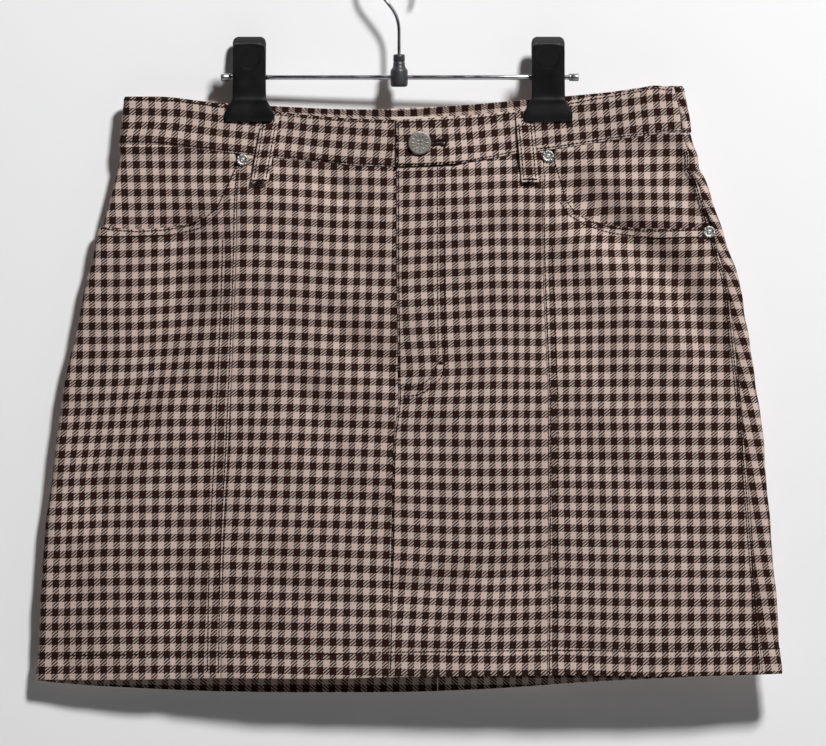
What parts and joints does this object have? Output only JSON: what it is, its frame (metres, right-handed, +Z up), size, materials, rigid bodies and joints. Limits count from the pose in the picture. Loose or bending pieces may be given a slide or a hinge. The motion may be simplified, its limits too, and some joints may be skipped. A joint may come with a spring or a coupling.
{
  "type": "mini skirt on a clip hanger",
  "caption": "Checked twill mini skirt with curved front pockets, fly, waistband and belt loops, held flat by a rod hanger with a clip at each side.",
  "frame": {"origin": "seat of the hook: the top of the inside of its bend, where a rail carries the hanger", "axes": "+Z up, the skirt's front faces -Y, +X to the right of someone looking at the front"},
  "size_m": [0.5403, 0.0354, 0.5459],
  "materials": {
    "twill": "woven check of dark brown and pinkish beige, matt",
    "label_tape": "plain cream tape",
    "zip_metal": "dull",
    "antique_silver": "dull antique silver",
    "plated_steel": "bright",
    "cap_steel": "satin",
    "black_plastic": "satin",
    "grey_plastic": "satin"
  },
  "bodies": {
    "root": {"front_side_left": "twill", "front_centre_left": "twill", "front_centre_right": "twill", "front_side_right": "twill", "back_right": "twill", "back_left": "twill", "pocket_facing_left": "twill", "pocket_facing_right": "twill", "fly_zip": "zip_metal", "fly_underlap": "twill", "waistband_front_left": "twill", "waistband_front_right": "twill", "waistband_back": "twill", "label": "label_tape", "belt_loop_front_left": "twill", "belt_loop_front_right": "twill", "belt_loop_back_left": "twill", "belt_loop_back_centre": "twill", "belt_loop_back_right": "twill", "button": "antique_silver", "rivet_left_inner": "antique_silver", "rivet_right_inner": "antique_silver", "rivet_right_outer": "antique_silver", "rivet_left_outer": "antique_silver", "hook_wire": "plated_steel", "hanger_hub": "grey_plastic", "rod": "plated_steel", "rod_cap_left": "cap_steel", "rod_cap_right": "cap_steel", "clip_left_front_arm": "black_plastic", "clip_left_back_arm": "black_plastic", "clip_left_spring": "cap_steel", "clip_right_front_arm": "black_plastic", "clip_right_back_arm": "black_plastic", "clip_right_spring": "cap_steel"}
  },
  "joints": []
}
